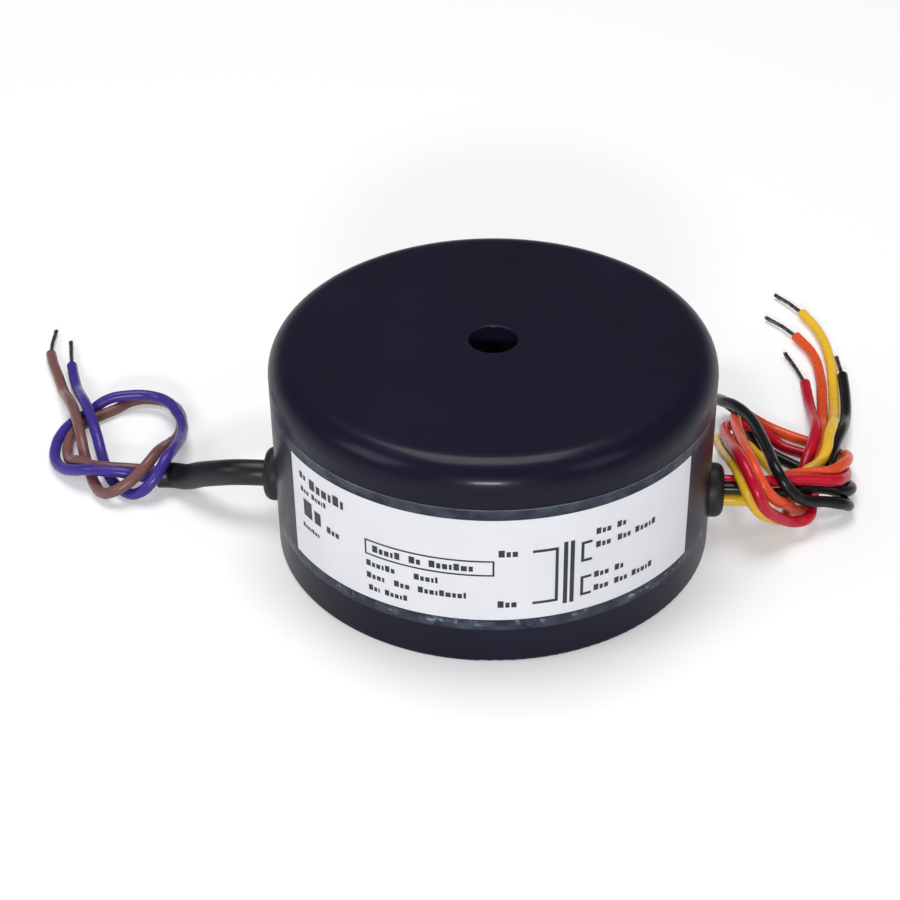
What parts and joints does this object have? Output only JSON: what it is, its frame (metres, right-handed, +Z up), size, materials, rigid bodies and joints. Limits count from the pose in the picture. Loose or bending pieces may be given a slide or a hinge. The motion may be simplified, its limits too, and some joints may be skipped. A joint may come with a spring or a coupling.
{
  "type": "toroidal transformer",
  "caption": "Potted toroidal mains transformer in a round moulded case, with a central fixing hole, a wrap-round label and knotted flying leads.",
  "frame": {"origin": "middle of the case's flat underside, on the axis of the fixing hole", "axes": "+Z up along the fixing hole; X through the two grommets, with the sleeved primary at -X and the four secondary leads at +X; the label faces -Y"},
  "size_m": [0.2008, 0.149, 0.048],
  "materials": {
    "case": "dark navy-black moulded case, satin",
    "zinc_steel": "zinc-plated compression tube",
    "core_steel": "tape-wound grain-oriented steel",
    "polyester_tape": "yellow polyester insulating tape",
    "copper": "enamelled copper winding wire",
    "resin": "black potting resin",
    "grommet": "black rubber",
    "label": "white printed polyester label",
    "film": "clear over-laminate film",
    "sleeve": "black sleeving",
    "violet": "violet PVC insulation",
    "brown": "brown PVC insulation",
    "red": "red PVC insulation",
    "orange": "orange PVC insulation",
    "yellow": "yellow PVC insulation",
    "black": "black PVC insulation",
    "tinned": "tinned stranded copper"
  },
  "bodies": {
    "root": {"case": "case", "centre_tube": "zinc_steel", "core": "core_steel", "core_wrap": "polyester_tape", "primary_winding": "copper", "winding_barrier": "polyester_tape", "secondary_winding_a": "copper", "secondary_winding_b": "copper", "outer_wrap": "polyester_tape", "potting_resin": "resin", "primary_grommet": "grommet", "secondary_grommet": "grommet", "label": "label", "label_film": "film", "primary_sleeve": "sleeve", "violet_lead": "violet", "brown_lead": "brown", "red_lead": "red", "orange_lead": "orange", "yellow_lead": "yellow", "black_lead": "black", "violet_tip": "tinned", "brown_tip": "tinned", "red_tip": "tinned", "orange_tip": "tinned", "yellow_tip": "tinned", "black_tip": "tinned"}
  },
  "joints": []
}
